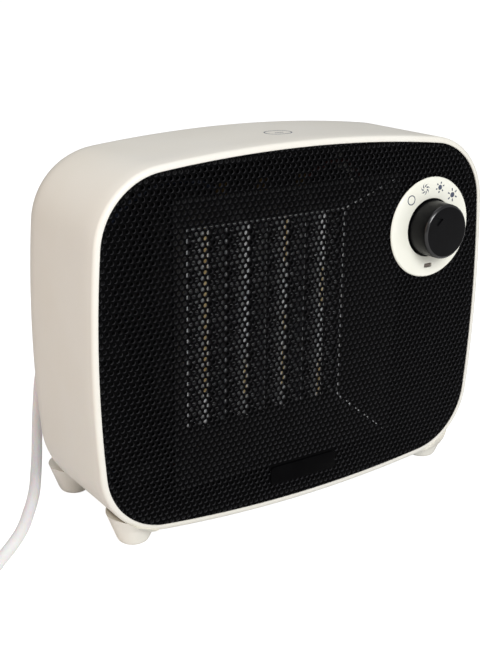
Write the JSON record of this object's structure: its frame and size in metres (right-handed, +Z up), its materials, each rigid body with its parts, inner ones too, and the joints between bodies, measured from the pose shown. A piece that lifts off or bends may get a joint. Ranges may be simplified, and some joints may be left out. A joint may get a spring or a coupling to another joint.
{
  "type": "ceramic space heater",
  "caption": "Compact ceramic fan heater: bowed white casing on conical feet, black perforated front grille with a rotary dial, slotted back and a coiled mains cord.",
  "frame": {"origin": "on the table under the middle of the heater, taken without its cord", "axes": "+Z up, the front grille faces -Y, +X is to the right seen from the front"},
  "size_m": [0.3825, 0.1586, 0.1922],
  "materials": {
    "casing_ivory": "moulded ABS, satin",
    "grille_black": "moulded black plastic, satin",
    "dial_ivory": "moulded plastic, glossy, slate print",
    "knob_black": "moulded plastic, fine satin",
    "lens_smoke": "smoked acrylic",
    "steel": "zinc-plated steel",
    "brass": "tinned and bare brass",
    "aluminium": "rolled foil",
    "ceramic": "fired ceramic with a silvered face",
    "heat_plastic": "glass-filled heat-resistant plastic",
    "cord_vinyl": "soft white PVC",
    "lead_red": "PVC insulation",
    "lead_blue": "PVC insulation"
  },
  "bodies": {
    "casing": {"air_duct": "heat_plastic", "casing_shell": "casing_ivory", "ceramic_strip_1": "ceramic", "ceramic_strip_2": "ceramic", "ceramic_strip_3": "ceramic", "ceramic_strip_4": "ceramic", "cord_clamp": "heat_plastic", "cord_coil": "cord_vinyl", "cord_gland": "cord_vinyl", "cord_tail": "cord_vinyl", "dial_bezel": "dial_ivory", "divider_plate_1": "aluminium", "divider_plate_2": "aluminium", "divider_plate_3": "aluminium", "fan_shroud": "heat_plastic", "fin_block_1": "aluminium", "fin_block_2": "aluminium", "fin_block_3": "aluminium", "fin_block_4": "aluminium", "fin_block_5": "aluminium", "fin_block_6": "aluminium", "fin_block_7": "aluminium", "fin_block_8": "aluminium", "foot_front_left": "casing_ivory", "foot_front_right": "casing_ivory", "foot_rear_left": "casing_ivory", "foot_rear_right": "casing_ivory", "front_grille": "grille_black", "indicator_lamp": "lens_smoke", "indicator_lens": "lens_smoke", "lead_heater": "lead_red", "lead_live": "lead_red", "lead_neutral": "lead_blue", "motor_body": "steel", "motor_end_cap": "heat_plastic", "name_plate": "grille_black", "plug_body": "cord_vinyl", "plug_pin_1": "brass", "plug_pin_2": "brass", "power_cord": "cord_vinyl", "ptc_frame": "heat_plastic", "ptc_terminal_1": "brass", "ptc_terminal_2": "brass", "ptc_terminal_3": "brass", "rear_cover": "casing_ivory", "rear_cover_screw_1": "steel", "rear_cover_screw_2": "steel", "rear_cover_screw_3": "steel", "rear_cover_screw_4": "steel", "rotary_switch": "heat_plastic", "terminal_block": "heat_plastic", "thermal_cutout": "heat_plastic", "thermal_fuse": "aluminium"},
    "knob": {"control_knob": "knob_black", "switch_shaft": "steel"},
    "fan": {"fan_impeller": "grille_black", "motor_shaft": "steel"}
  },
  "joints": [
    {"name": "knob_turn", "type": "hinge", "parent": "casing", "child": "knob", "pos_m": [0.0798, -0.04, 0.1398], "axis": [0, 1, 0], "range_deg": [0, 84]},
    {"name": "fan_spin", "type": "hinge", "parent": "casing", "child": "fan", "pos_m": [-0.0075, 0.015, 0.097], "axis": [0, 1, 0], "continuous": true}
  ]
}
